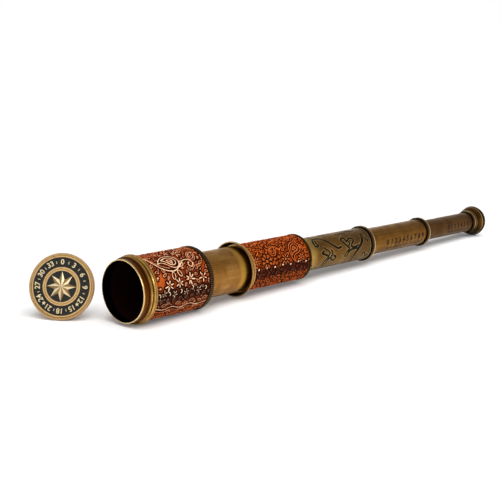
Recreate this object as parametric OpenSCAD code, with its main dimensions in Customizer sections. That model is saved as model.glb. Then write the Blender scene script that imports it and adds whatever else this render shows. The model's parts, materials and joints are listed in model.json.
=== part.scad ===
// Three-draw brass spyglass with two tooled-leather wraps, a sliding ray shade and a plug cap.
// It lies at full length on the table at z = 0, with the front lip above the origin and +X towards
// the eyepiece. Stations are millimetres behind the lip, measured along the tube's own axis.

/* [Shade] */
// Outer radius of the thin front lip
lip_r = 24; // [20:0.5:30]
// Wall of the front lip
lip_wall = 1.0; // [0.6:0.1:1.6]
// Length of the lip in front of the beads
lip_len = 5.2; // [3:0.1:9]
// How far the small front bead stands above the lip
bead_1_h = 1.5; // [0.8:0.1:2.5]
// How far the large rear bead stands above the lip
bead_2_h = 2.4; // [2:0.1:5]
// Width of the large rear bead
bead_2_w = 3.6; // [2.4:0.1:5]
// Wall of the tube under the shade's leather
shade_wall = 0.6; // [0.5:0.1:1.4]
// Length of the shade's leather
shade_leather_len = 54; // [40:1:90]
// Length of the knurled collar behind the shade's leather
shade_collar_len = 4; // [3:0.1:8]
// How far the shade slides back over the barrel
shade_travel = 45.2; // [20:0.2:46]

/* [Barrel] */
// Outer radius of the barrel tube
barrel_r = 18.55; // [15:0.05:20]
// Wall of the barrel tube
barrel_wall = 0.8; // [0.5:0.05:1.2]
// How far the bell-mouth cup's lip stands out from the barrel tube
cup_gap = 3.25; // [2.5:0.05:5]
// Wall of the cup
cup_wall = 0.8; // [0.5:0.05:1.2]
// Length of the cup
cup_len = 6.5; // [5:0.1:10]
// Length of the barrel's leather
barrel_leather_len = 66.6; // [50:0.2:100]
// Length of the knurled collar behind the barrel's leather
barrel_collar_len = 2.6; // [2.2:0.1:8]
// Thickness of both leather wraps
leather_t = 0.75; // [0.5:0.05:1.2]
// How far both knurled collars stand above the tube that they end
knurl_h = 1.25; // [1:0.05:2]

/* [Draws] */
// Wall of the three draw tubes
draw_wall = 0.65; // [0.4:0.05:0.9]
// Radial gap between the barrel's bore and draw 1
draw_1_gap = 3.45; // [2.6:0.05:4]
// Radial gap between draw 1's bore and draw 2
draw_2_gap = 1.6; // [1.4:0.05:2.2]
// Radial gap between draw 2's bore and draw 3
draw_3_gap = 1.85; // [1.4:0.05:2.4]
// Travel of draw 1 into the barrel
draw_1_travel = 87.8; // [60:0.2:95]
// Travel of draw 2 into draw 1
draw_2_travel = 83.6; // [60:0.2:85]
// Travel of draw 3 into draw 2
draw_3_travel = 77.8; // [60:0.2:80]
// Length of the two plain collars at the rear of draws 1 and 2
draw_collar_len = 4.1; // [3:0.1:8]
// How far the plain collars stand above their tubes
draw_collar_h = 1.5; // [1:0.05:2.5]
// Length of each slotted guide sleeve
guide_len = 12.5; // [9:0.5:16]
// Length of each stop ring
stop_len = 6; // [4:0.5:9]

/* [Objective] */
// Length of the objective cell's flange, which is also the shade's stop
cell_flange_len = 4; // [3:0.1:6]
// Length of the objective cell inside the barrel tube
cell_len = 9.5; // [8:0.1:14]
// Radius of curvature of the objective's curved faces
objective_curve_r = 60; // [50:1:120]
// Centre thickness of the front element
crown_t = 6.5; // [6:0.1:9]
// Centre thickness of the rear element
flint_t = 2.2; // [1.6:0.1:4]

/* [Erector and eyepiece] */
// Length of the erector's tube
erector_len = 40; // [30:1:55]
// Centre thickness of the erector and eyepiece lenses
small_lens_t = 3.4; // [2.8:0.1:5]
// Radius of curvature of the erector and eyepiece lenses
small_lens_curve_r = 24; // [18:1:60]
// Radius of the erector's aperture
aperture_r = 3; // [1.5:0.5:5]
// Distance between the field lens and the eye lens
lens_spacing = 24; // [15:1:32]
// Radius of the eyepiece rim
eye_rim_r = 14.6; // [13.5:0.1:20]
// Length of the eyepiece cup
eye_len = 16.2; // [15:0.1:24]
// Radius of the hole that the eye looks through
eye_hole_r = 4; // [2:0.5:6]
// Depth of the dish round the eye hole
eye_dish_depth = 5; // [4.5:0.1:7]

/* [Cap] */
// How far the cap's flange stands out past the lip
cap_brim = 1.4; // [0.4:0.1:3]
// Thickness of the cap's flange
cap_t = 3; // [2.5:0.1:5]
// Length of the cap's plug
cap_plug_len = 8; // [6:0.1:12]
// Wall of the cap's plug
cap_plug_wall = 1.3; // [0.8:0.1:2]
// Radial play of the plug in the mouth
cap_play = 0.1; // [0.05:0.05:0.3]
// Inner radius of the raised ring on the cap's dial
dial_ring_r = 11.9; // [8:0.1:13]
// Width of the raised ring on the cap's dial
dial_ring_w = 2.8; // [1.5:0.1:3.5]
// Distance from the lip's plane to the cap's centre, in front of the mouth
cap_ahead = 17.4; // [17:0.2:40]
// Clear distance from the lip's side to the cap's centre
cap_beside = 26.4; // [24:0.2:60]
// Turn of the cap's back away from the tube's direction
cap_turn = 34; // [30:1:90]

/* [Fits] */
// Radial clearance between pieces that are screwed or soldered together
seat_fit = 0.03; // [0.02:0.01:0.06]
// Radial clearance of a guide sleeve on its tube
slide_fit = 0.08; // [0.04:0.01:0.1]
// Radial clearance of a stop ring in its bore
stop_fit = 0.1; // [0.06:0.01:0.15]
// Radial clearance of a collar's hole round the tube that passes through it
collar_gap = 0.3; // [0.2:0.05:0.6]
// Gap between a stop and its seat at either end of a slide
end_gap = 0.2; // [0.1:0.05:0.5]
// Gap between the ends of neighbouring pieces on one tube
joint_gap = 0.05; // [0.02:0.01:0.1]
// Width of the butt seam in each leather wrap
seam_w = 0.4; // [0.2:0.1:1]

/* [Hidden] */
$fn = 120;

// Shade: radii and stations
mouth_r = lip_r - lip_wall;
shade_bore = lip_r - shade_wall;
bead_1_w = 2 * bead_1_h;
groove_w = 0.6;
groove_h = 0.7;
bead_1_s = lip_len + bead_1_w / 2;
bead_2_s = lip_len + bead_1_w + groove_w + bead_2_w / 2;
bead_2_r = lip_r + bead_2_h;
front_ring_len = bead_2_s + bead_2_w / 2;
front_seat_s = bead_1_s + 0.7;
shade_leather_s = front_ring_len + joint_gap;
shade_collar_s = shade_leather_s + shade_leather_len + joint_gap;
shade_rear_s = shade_collar_s + shade_collar_len;
collar_disc_t = 1.3;
shade_tube_end = shade_rear_s - collar_disc_t - joint_gap;

// Barrel: radii and stations
barrel_bore = barrel_r - barrel_wall;
cup_s = shade_rear_s + shade_travel + end_gap;
cup_r = barrel_r + cup_gap + cup_wall;
cup_hub_r = barrel_r + 1.3;
cup_rim_len = 1.3;
barrel_leather_s = cup_s + cup_len + joint_gap;
barrel_collar_s = barrel_leather_s + barrel_leather_len + joint_gap;
barrel_rear_s = barrel_collar_s + barrel_collar_len;
barrel_tube_end = barrel_rear_s - collar_disc_t - joint_gap;
shade_guide_len = guide_len - 2;
shade_guide_s = shade_tube_end - shade_guide_len;
cell_s = shade_guide_s - end_gap - cell_flange_len;
barrel_front_s = cell_s + cell_flange_len + joint_gap;

// Draws: outer radius, bore, collar and end stations of each tube, counted from the barrel as 0
draw_1_r = barrel_bore - draw_1_gap;
draw_2_r = draw_1_r - draw_wall - draw_2_gap;
draw_3_r = draw_2_r - draw_wall - draw_3_gap;
tube_r = [barrel_r, draw_1_r, draw_2_r, draw_3_r];
tube_bore = [barrel_bore, draw_1_r - draw_wall, draw_2_r - draw_wall, draw_3_r - draw_wall];
draw_1_collar_s = barrel_rear_s + draw_1_travel + end_gap;
draw_1_rear_s = draw_1_collar_s + draw_collar_len;
draw_2_collar_s = draw_1_rear_s + draw_2_travel + end_gap;
draw_2_rear_s = draw_2_collar_s + draw_collar_len;
eye_s = draw_2_rear_s + draw_3_travel + end_gap;
eye_rear_s = eye_s + eye_len;
rear_s = [barrel_rear_s, draw_1_rear_s, draw_2_rear_s];
tube_end = [for (rear = rear_s) rear - collar_disc_t - joint_gap];
guide_s = [for (end = tube_end) end - guide_len];
stop_s = [for (guide = guide_s) guide - end_gap - stop_len];
stop_lip = 1.0;
tube_front = [for (stop = stop_s) stop + stop_lip + joint_gap];

// Eyepiece: the tube ends behind the step ring, inside the bell
eye_rim_nose = 1.6;
eye_rim_s = eye_rear_s - eye_rim_nose - 1.5;
eye_lens_rear = eye_rear_s - eye_dish_depth - 1.6;
draw_3_end = eye_lens_rear + joint_gap;

// The lens seats inside draw 3
draw_3_bore = tube_bore[3];
cartridge_r = draw_3_bore - seat_fit;
erector_wall = 0.8;
erector_bore = cartridge_r - erector_wall;
erector_s = stop_s[2] + stop_len + 4;
spacer_wall = 0.7;
lens_play = 0.05;
small_lens_r = draw_3_bore - lens_play;
erector_lens_r = erector_bore - lens_play;
eye_lens_s = eye_lens_rear - small_lens_t;
field_lens_s = eye_lens_s - lens_spacing;

// The objective's seat
cell_bore = barrel_bore - seat_fit - 0.8;
objective_r = cell_bore - lens_play;
cell_shoulder_w = 1.0;
cell_shoulder_len = 2;
flint_rear_s = cell_s + cell_flange_len + cell_len - cell_shoulder_len - joint_gap;
crown_gap = 0.1;
flint_s = flint_rear_s - flint_t;
crown_s = flint_s - crown_gap - crown_t;

// The tube rests on the large front bead and on the eyepiece rim
tilt = atan((bead_2_r - eye_rim_r) / (eye_rim_s - bead_2_s));
axis_h = bead_2_r * cos(tilt) + bead_2_s * sin(tilt);

// The cap stands on the rear edges of its flange and its plug, so it leans back
cap_plug_r = mouth_r - cap_play;
cap_r = lip_r + cap_brim;
cap_lean = atan((cap_r - cap_plug_r) / cap_plug_len);
cap_h = cap_t * sin(cap_lean) + cap_r * cos(cap_lean);
cap_rim_w = 1.8;
cap_recess = 1.5;
medallion_r = cap_r - cap_rim_w - 0.05;

// Points of an arc of radius r round [x, y], from angle a0 to a1
function arc(x, y, r, a0, a1, n = 10) =
    [for (i = [0:n]) let (a = a0 + (a1 - a0) * i / n) [x + r * cos(a), y + r * sin(a)]];

// Depth of a spherical face of radius curve at distance r from its axis
function sag(curve, r) = curve - sqrt(curve * curve - r * r);

// Points of a lens face whose vertex is at station s; the face falls back by way times its sag
function lens_face(s, curve, r, way, n = 10) =
    [for (i = [0:n]) let (q = r * i / n) [q, s + way * sag(curve, q)]];

function reversed(list) = [for (i = [len(list) - 1:-1:0]) list[i]];

// Puts what is drawn along its own +X axis on the spyglass's axis
module on_axis() {
    translate([0, 0, axis_h]) rotate([0, tilt, 0]) children();
}

// Turns a profile of [radius, station] points round the spyglass's axis
module turned(points) {
    on_axis() rotate([0, 90, 0]) rotate_extrude() polygon(points);
}

// A plain pipe between two stations
module pipe(s0, s1, r_in, r_out) {
    turned([[r_in, s0], [r_out, s0], [r_out, s1], [r_in, s1]]);
}

// A collar that fits over the rear end of a tube, with a disc that closes in on the next tube
module end_collar(s0, s1, tube, hole, r_out) {
    edge = 0.4;
    turned([
        [tube + seat_fit, s0], [r_out - edge, s0], [r_out, s0 + edge], [r_out, s1 - edge],
        [r_out - edge, s1], [hole, s1], [hole, s1 - collar_disc_t], [tube + seat_fit, s1 - collar_disc_t]
    ]);
}

// A sleeve in a tube's bore that the next tube slides through, slotted so that its front end springs
module guide_sleeve(s0, len, tube, bore) {
    slots = 3;
    slot_w = 0.8;
    land = 2.5;
    r_in = tube + slide_fit;
    r_out = bore - seat_fit;
    r_mid = r_in + 0.8;
    difference() {
        turned([
            [r_in, s0], [r_mid, s0], [r_mid, s0 + len - land], [r_out, s0 + len - land],
            [r_out, s0 + len], [r_in, s0 + len]
        ]);
        for (i = [0:slots - 1])
            on_axis() rotate([i * 360 / slots, 0, 0])
                translate([s0 - 1, -slot_w / 2, 0]) cube([len - land, slot_w, bore]);
    }
}

// A ring on the front end of a tube that runs in the bore round it and stops at the guide sleeve
module stop_ring(s0, tube, inner, bore) {
    r_out = bore - stop_fit;
    edge = 0.4;
    turned([
        [inner, s0], [r_out - edge, s0], [r_out, s0 + edge], [r_out, s0 + stop_len - edge],
        [r_out - edge, s0 + stop_len], [tube + seat_fit, s0 + stop_len],
        [tube + seat_fit, s0 + stop_lip], [inner, s0 + stop_lip]
    ]);
}

// A leather strip wrapped round a tube, with its two ends butted underneath
module leather_wrap(s0, len, tube) {
    edge = 0.25;
    r_in = tube + seat_fit;
    r_out = tube + leather_t;
    difference() {
        turned([
            [r_in, s0], [r_out - edge, s0], [r_out, s0 + edge], [r_out, s0 + len - edge],
            [r_out - edge, s0 + len], [r_in, s0 + len]
        ]);
        on_axis() translate([s0 - 1, -seam_w / 2, -r_out - 1]) cube([len + 2, seam_w, r_out]);
    }
}

// A lens with both faces bulging
module biconvex(s0, thick, r, curve) {
    turned(concat(
        lens_face(s0, curve, r, 1),
        reversed(lens_face(s0 + thick, curve, r, -1))
    ));
}

// A lens with a bulging face and a flat face; way is 1 where the bulge faces forwards
module planoconvex(s0, thick, r, curve, way) {
    bulge = way > 0 ? s0 : s0 + thick;
    flat = way > 0 ? s0 + thick : s0;
    face = lens_face(bulge, curve, r, way);
    turned(concat(face, [[r, flat], [0, flat]]));
}

module shade_tube() {
    color("goldenrod")
        pipe(front_seat_s + joint_gap, shade_tube_end, shade_bore, lip_r);
}

module shade_front_ring() {
    edge = 0.3;
    nose = bead_2_w / 2;
    groove_s = lip_len + bead_1_w;
    color("darkgoldenrod")
        turned(concat(
            [[mouth_r, edge], [mouth_r + edge, 0], [lip_r - edge, 0], [lip_r, edge]],
            arc(lip_r, bead_1_s, bead_1_h, -90, 62),
            [[lip_r + groove_h, groove_s], [lip_r + groove_h, groove_s + groove_w]],
            arc(bead_2_r - nose, bead_2_s, nose, -90, 90),
            [[lip_r + seat_fit, front_ring_len], [lip_r + seat_fit, front_seat_s], [mouth_r, front_seat_s]]
        ));
}

module shade_leather() {
    color("sienna") leather_wrap(shade_leather_s, shade_leather_len, lip_r);
}

module shade_rear_collar() {
    color("saddlebrown")
        end_collar(shade_collar_s, shade_rear_s, lip_r, barrel_r + collar_gap, lip_r + knurl_h);
}

module shade_guide_sleeve() {
    color("goldenrod") guide_sleeve(shade_guide_s, shade_guide_len, barrel_r, shade_bore);
}

module barrel_tube() {
    color("goldenrod") pipe(barrel_front_s, barrel_tube_end, barrel_bore, barrel_r);
}

// A bell that opens forwards: its wall leaves the hub and curves out to a short straight rim
module cup_flange() {
    steps = 8;
    bell_len = cup_len - cup_rim_len;
    function bell(t) = cup_hub_r + (cup_r - cup_hub_r) * pow(t, 1.8);
    outside = [for (i = [0:steps]) [bell(i / steps), cup_s + cup_len - bell_len * i / steps]];
    inside_from = 3;
    inside = [for (i = [steps:-1:inside_from])
        [bell(i / steps) - cup_wall, cup_s + cup_len - bell_len * i / steps]];
    hub_s = cup_s + cup_len - bell_len * inside_from / steps;
    color("darkgoldenrod")
        turned(concat(
            outside,
            [[cup_r, cup_s], [cup_r - cup_wall, cup_s]],
            inside,
            [[barrel_r + seat_fit, hub_s], [barrel_r + seat_fit, cup_s + cup_len]]
        ));
}

module barrel_leather() {
    color("sienna") leather_wrap(barrel_leather_s, barrel_leather_len, barrel_r);
}

module barrel_rear_collar() {
    color("saddlebrown")
        end_collar(barrel_collar_s, barrel_rear_s, barrel_r, draw_1_r + collar_gap, barrel_r + knurl_h);
}

module barrel_guide_sleeve() {
    color("goldenrod") draw_guide(0);
}

// The cell's flange runs in the shade's bore, and its skirt is screwed into the barrel tube
module objective_cell() {
    flange_r = shade_bore - stop_fit;
    skirt_r = barrel_bore - seat_fit;
    flange_end = cell_s + cell_flange_len;
    skirt_end = flange_end + cell_len;
    shoulder_s = skirt_end - cell_shoulder_len;
    edge = 0.4;
    color("goldenrod")
        turned([
            [cell_bore, cell_s], [flange_r - edge, cell_s], [flange_r, cell_s + edge],
            [flange_r, flange_end - edge], [flange_r - edge, flange_end], [skirt_r, flange_end],
            [skirt_r, skirt_end], [cell_bore - cell_shoulder_w, skirt_end],
            [cell_bore - cell_shoulder_w, shoulder_s], [cell_bore, shoulder_s]
        ]);
}

module objective_crown() {
    color("lightcyan") biconvex(crown_s, crown_t, objective_r, objective_curve_r);
}

module objective_flint() {
    face = lens_face(flint_s, objective_curve_r, objective_r, -1);
    color("lightcyan")
        turned(concat(face, [[objective_r, flint_rear_s], [0, flint_rear_s]]));
}

module objective_retaining_ring() {
    ring_len = 1.6;
    slot_w = 1.5;
    slot_depth = 0.8;
    r_in = objective_r - 1.0;
    rear = crown_s + sag(objective_curve_r, r_in) - joint_gap;
    color("darkgoldenrod")
        difference() {
            pipe(rear - ring_len, rear, r_in, cell_bore - seat_fit);
            on_axis()
                translate([rear - ring_len - 1, -slot_w / 2, -cell_bore])
                    cube([slot_depth + 1, slot_w, 2 * cell_bore]);
        }
}

module draw_tube(k, end) {
    pipe(tube_front[k - 1], end, tube_bore[k], tube_r[k]);
}

module draw_collar(k, s0) {
    end_collar(s0, s0 + draw_collar_len, tube_r[k], tube_r[k + 1] + collar_gap, tube_r[k] + draw_collar_h);
}

// The sleeve in tube k that the next draw slides through
module draw_guide(k) {
    guide_sleeve(guide_s[k], guide_len, tube_r[k + 1], tube_bore[k]);
}

module draw_stop_ring(k) {
    stop_ring(stop_s[k - 1], tube_r[k], tube_bore[k], tube_bore[k - 1]);
}

module draw_1_tube() { color("tan") draw_tube(1, tube_end[1]); }
module draw_1_stop_ring() { color("goldenrod") draw_stop_ring(1); }
module draw_1_collar() { color("darkgoldenrod") draw_collar(1, draw_1_collar_s); }
module draw_1_guide_sleeve() { color("goldenrod") draw_guide(1); }

module draw_2_tube() { color("peru") draw_tube(2, tube_end[2]); }
module draw_2_stop_ring() { color("goldenrod") draw_stop_ring(2); }
module draw_2_collar() { color("darkgoldenrod") draw_collar(2, draw_2_collar_s); }
module draw_2_guide_sleeve() { color("goldenrod") draw_guide(2); }

module draw_3_tube() { color("saddlebrown") draw_tube(3, draw_3_end); }
module draw_3_stop_ring() { color("goldenrod") draw_stop_ring(3); }

// The erector's tube has a shoulder inside each lens
module erector_tube() {
    seat = small_lens_t + 0.2;
    shoulder_len = 1.2;
    shoulder_r = erector_bore - 0.8;
    rear = erector_s + erector_len;
    front_face = erector_s + seat;
    rear_face = rear - seat;
    color("goldenrod")
        turned([
            [erector_bore, erector_s], [cartridge_r, erector_s], [cartridge_r, rear], [erector_bore, rear],
            [erector_bore, rear_face], [shoulder_r, rear_face], [shoulder_r, rear_face - shoulder_len],
            [erector_bore, rear_face - shoulder_len], [erector_bore, front_face + shoulder_len],
            [shoulder_r, front_face + shoulder_len], [shoulder_r, front_face], [erector_bore, front_face]
        ]);
}

module erector_front_lens() {
    color("lightcyan")
        planoconvex(erector_s + 0.15, small_lens_t, erector_lens_r, small_lens_curve_r, 1);
}

module erector_aperture() {
    disc_t = 1.2;
    middle = erector_s + erector_len / 2;
    color("dimgray") pipe(middle - disc_t / 2, middle + disc_t / 2, aperture_r, erector_bore - seat_fit);
}

module erector_rear_lens() {
    color("lightcyan")
        planoconvex(erector_s + erector_len - small_lens_t - 0.15, small_lens_t, erector_lens_r,
            small_lens_curve_r, -1);
}

module eyepiece_retaining_ring() {
    ring_len = 2.5;
    r_in = small_lens_r - 1.2;
    rear = field_lens_s + sag(small_lens_curve_r, r_in) - joint_gap;
    color("darkgoldenrod") pipe(rear - ring_len, rear, r_in, cartridge_r);
}

module field_lens() {
    color("lightcyan") planoconvex(field_lens_s, small_lens_t, small_lens_r, small_lens_curve_r, 1);
}

module eyepiece_spacer() {
    front = field_lens_s + small_lens_t + joint_gap;
    r_in = cartridge_r - spacer_wall;
    rear = eye_lens_s + sag(small_lens_curve_r, r_in) - joint_gap;
    color("dimgray") pipe(front, rear, r_in, cartridge_r);
}

module eye_lens() {
    color("lightcyan") planoconvex(eye_lens_s, small_lens_t, small_lens_r, small_lens_curve_r, 1);
}

// Step ring, groove, bell and rim, with a dish for the eye; its shoulder holds the eye lens
module eyepiece_cup() {
    step_len = 1.3;
    step_r = draw_3_r + 1.2;
    neck_r = draw_3_r + 0.9;
    ridge_h = 0.75;
    ridge_1 = [draw_3_r + 0.95, eye_s + 2.9];
    ridge_2 = [draw_3_r + 1.45, eye_s + 4.5];
    bell_r = draw_3_r + 1.75;
    bell_s = eye_s + 5.35;
    bell_steps = 8;
    bell_end = eye_rim_s - eye_rim_nose;
    rim_inner = eye_rim_r - eye_rim_nose;
    function bell(t) = bell_r + (eye_rim_r - 0.6 - bell_r) * pow(sin(90 * t), 0.8);
    bell_side = [for (i = [0:bell_steps])
        [bell(i / bell_steps), bell_s + (bell_end - bell_s) * i / bell_steps]];
    dish_r = rim_inner - 0.4;
    dish_floor_r = eye_hole_r + 2;
    dish_s = eye_rear_s - eye_dish_depth;
    color("darkgoldenrod")
        turned(concat(
            [[draw_3_r + seat_fit, eye_s], [step_r, eye_s]],
            [[step_r, eye_s + step_len], [neck_r, eye_s + step_len]],
            arc(ridge_1[0], ridge_1[1], ridge_h, -90, 90, 6),
            arc(ridge_2[0], ridge_2[1], ridge_h, -90, 90, 6),
            bell_side,
            arc(rim_inner, eye_rim_s, eye_rim_nose, -60, 60),
            [[rim_inner + 0.6, eye_rear_s], [dish_r, eye_rear_s]],
            [[dish_floor_r, dish_s], [eye_hole_r, dish_s], [eye_hole_r, draw_3_end + joint_gap]],
            [[draw_3_r + seat_fit, draw_3_end + joint_gap]]
        ));
}

// Stands the cap beside the mouth; its own +X axis runs from its face to its back
module cap_place() {
    translate([-cap_ahead, lip_r + cap_beside, cap_h])
        rotate([0, 0, cap_turn]) rotate([0, cap_lean, 0]) rotate([0, 90, 0]) children();
}

module cap_body() {
    edge = 0.3;
    rim_r = cap_r - cap_rim_w;
    plug_bore = cap_plug_r - cap_plug_wall;
    back = cap_t + cap_plug_len;
    color("burlywood")
        cap_place() rotate_extrude() polygon([
            [0, cap_recess], [rim_r, cap_recess], [rim_r, edge], [rim_r + edge, 0], [cap_r - edge, 0],
            [cap_r, edge], [cap_r, cap_t], [cap_plug_r, cap_t], [cap_plug_r, back], [plug_bore, back],
            [plug_bore, cap_t], [0, cap_t]
        ]);
}

module cap_medallion() {
    disc_t = 0.7;
    ring_h = 0.35;
    outer_ring = [medallion_r - 1.35, medallion_r - 0.2];
    inner_ring = [dial_ring_r, dial_ring_r + dial_ring_w];
    line = 0.15;
    line_r = dial_ring_r + dial_ring_w / 2;
    back = cap_recess - joint_gap;
    face = back - disc_t;
    crest = face - ring_h;
    color("darkslategray")
        cap_place() rotate_extrude() polygon([
            [0, back], [0, face], [inner_ring[0], face], [inner_ring[0], crest], [line_r - line, crest],
            [line_r - line, crest + line], [line_r + line, crest + line], [line_r + line, crest],
            [inner_ring[1], crest], [inner_ring[1], face], [outer_ring[0], face], [outer_ring[0], crest],
            [outer_ring[1], crest], [outer_ring[1], face], [medallion_r, face], [medallion_r, back]
        ]);
}

shade_tube();
shade_front_ring();
shade_leather();
shade_rear_collar();
shade_guide_sleeve();
barrel_tube();
cup_flange();
barrel_leather();
barrel_rear_collar();
barrel_guide_sleeve();
objective_cell();
objective_crown();
objective_flint();
objective_retaining_ring();
draw_1_tube();
draw_1_stop_ring();
draw_1_collar();
draw_1_guide_sleeve();
draw_2_tube();
draw_2_stop_ring();
draw_2_collar();
draw_2_guide_sleeve();
draw_3_tube();
draw_3_stop_ring();
erector_tube();
erector_front_lens();
erector_aperture();
erector_rear_lens();
eyepiece_retaining_ring();
field_lens();
eyepiece_spacer();
eye_lens();
eyepiece_cup();
cap_body();
cap_medallion();
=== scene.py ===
"""Looks of the brass spyglass: tooled leather, engraved and aged brass, and the dial of its cap.

Lengths are millimetres until place() turns a finished piece onto the spyglass's axis. There +X runs
from the front lip towards the eyepiece, and a station is a distance behind the lip.
"""
import cmath
import json
import math

import bmesh
import bpy
import numpy as np
from mathutils import Matrix, Vector


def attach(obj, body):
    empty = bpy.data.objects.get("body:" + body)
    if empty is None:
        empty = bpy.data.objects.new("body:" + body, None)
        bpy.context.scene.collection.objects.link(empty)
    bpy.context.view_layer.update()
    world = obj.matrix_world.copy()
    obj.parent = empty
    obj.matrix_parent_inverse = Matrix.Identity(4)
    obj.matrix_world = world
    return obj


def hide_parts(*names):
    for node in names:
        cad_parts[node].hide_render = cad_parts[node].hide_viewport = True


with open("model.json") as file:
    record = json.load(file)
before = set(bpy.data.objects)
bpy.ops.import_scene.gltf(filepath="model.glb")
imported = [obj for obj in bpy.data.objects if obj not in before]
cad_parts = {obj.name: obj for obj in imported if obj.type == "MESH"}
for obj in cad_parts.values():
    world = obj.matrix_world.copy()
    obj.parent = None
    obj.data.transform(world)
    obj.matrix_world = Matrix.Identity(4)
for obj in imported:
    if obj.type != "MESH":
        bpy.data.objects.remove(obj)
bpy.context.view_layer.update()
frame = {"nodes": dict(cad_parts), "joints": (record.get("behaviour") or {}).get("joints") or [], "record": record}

# Frame of the tube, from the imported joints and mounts
MM = 0.001
FULL_TURN = 2 * math.pi


def packed(rows, name, key):
    """The vector that a named joint or mount holds."""
    return next(Vector(row[key]) for row in rows if row["name"] == name)


TUBE_AXIS = packed(frame["joints"], "shade_slide", "axis").normalized()
TILT = math.atan2(-TUBE_AXIS.z, TUBE_AXIS.x)
SPIGOT = packed(frame["record"]["mounts"], "lip_spigot", "pos_m")
LIP_CENTRE = SPIGOT - TUBE_AXIS * (SPIGOT.x / TUBE_AXIS.x)
TUBE_FRAME = Matrix.Translation(LIP_CENTRE) @ Matrix.Rotation(TILT, 4, "Y") @ Matrix.Scale(MM, 4)


def vertex_rows(mesh):
    """The places of a mesh's vertices, as rows."""
    rows = np.empty(len(mesh.vertices) * 3, np.float32)
    mesh.vertices.foreach_get("co", rows)
    return rows.reshape(-1, 3)


def move_vertices(mesh, rows):
    mesh.vertices.foreach_set("co", rows.ravel())
    mesh.update()


def node_points(node, frame_matrix):
    """Vertices of a CAD node as rows, in the frame whose matrix is given."""
    inverse = np.array(frame_matrix.inverted())
    return vertex_rows(frame["nodes"][node].data) @ inverse[:3, :3].T + inverse[:3, 3]


def span(node):
    """Front station, rear station, inner radius and outer radius of a turned CAD node."""
    points = node_points(node, TUBE_FRAME)
    radius = np.hypot(points[:, 1], points[:, 2])
    return points[:, 0].min(), points[:, 0].max(), radius.min(), radius.max()


def cap_frame():
    """Frame of the cap: origin at the centre of its face, +Z out of the face, +Y up its dial."""
    points = node_points("cap_body", Matrix.Identity(4))
    thin = np.linalg.svd(points - points.mean(0), full_matrices=False)[2][2]
    out = Vector(thin if thin[0] < 0 else -thin).normalized()
    across = Vector((0, 0, 1)).cross(out).normalized()
    turn = Matrix((across, out.cross(across), out)).transposed()
    inside = points @ np.array(turn)
    low, high = inside.min(0), inside.max(0)
    face = turn @ Vector(((low[0] + high[0]) / 2, (low[1] + high[1]) / 2, high[2]))
    return Matrix.Translation(face) @ turn.to_4x4() @ Matrix.Scale(MM, 4)


CAP_FRAME = cap_frame()
# The same frame with +X out of the cap's face, as the tube's +X runs along its axis
CAP_AXIS_FRAME = CAP_FRAME @ Matrix.Rotation(math.radians(-90), 4, "Y")


# Editing helpers
def deselect():
    """Ends editing and selects nothing."""
    if bpy.context.mode != "OBJECT":
        bpy.ops.object.mode_set(mode="OBJECT")
    bpy.ops.object.select_all(action="DESELECT")


def activate(piece):
    deselect()
    piece.select_set(True)
    bpy.context.view_layer.objects.active = piece


def newest(name):
    """Names the object that an operator has just added."""
    piece = bpy.context.active_object
    piece.name = name
    piece.data.name = name
    return piece


def settle():
    """Takes the active object's place, turn and size into its mesh."""
    bpy.ops.object.transform_apply(location=True, rotation=True, scale=True)


def edit(piece, kind="VERT", selected=False):
    activate(piece)
    bpy.ops.object.mode_set(mode="EDIT")
    bpy.ops.mesh.select_mode(type=kind)
    bpy.ops.mesh.select_all(action="SELECT" if selected else "DESELECT")


def weld(distance):
    bpy.ops.mesh.select_all(action="SELECT")
    bpy.ops.mesh.remove_doubles(threshold=distance)


def outward(piece):
    """Turns every face outwards and ends editing."""
    edit(piece, selected=True)
    bpy.ops.mesh.normals_make_consistent(inside=False)
    deselect()
    return piece


def place(piece, body, slot, material, matrix=TUBE_FRAME, smooth=50, stands_for=()):
    """Turns a finished piece onto its frame, shades it and gives it its body and finish; the slot argument is not
    used.
    """
    activate(piece)
    bpy.ops.object.shade_smooth_by_angle(angle=math.radians(smooth))
    piece.matrix_world = matrix
    settle()
    piece.data.materials.clear()
    piece.data.materials.append(material)
    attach(piece, body)
    if stands_for:
        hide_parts(*stands_for)


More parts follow.
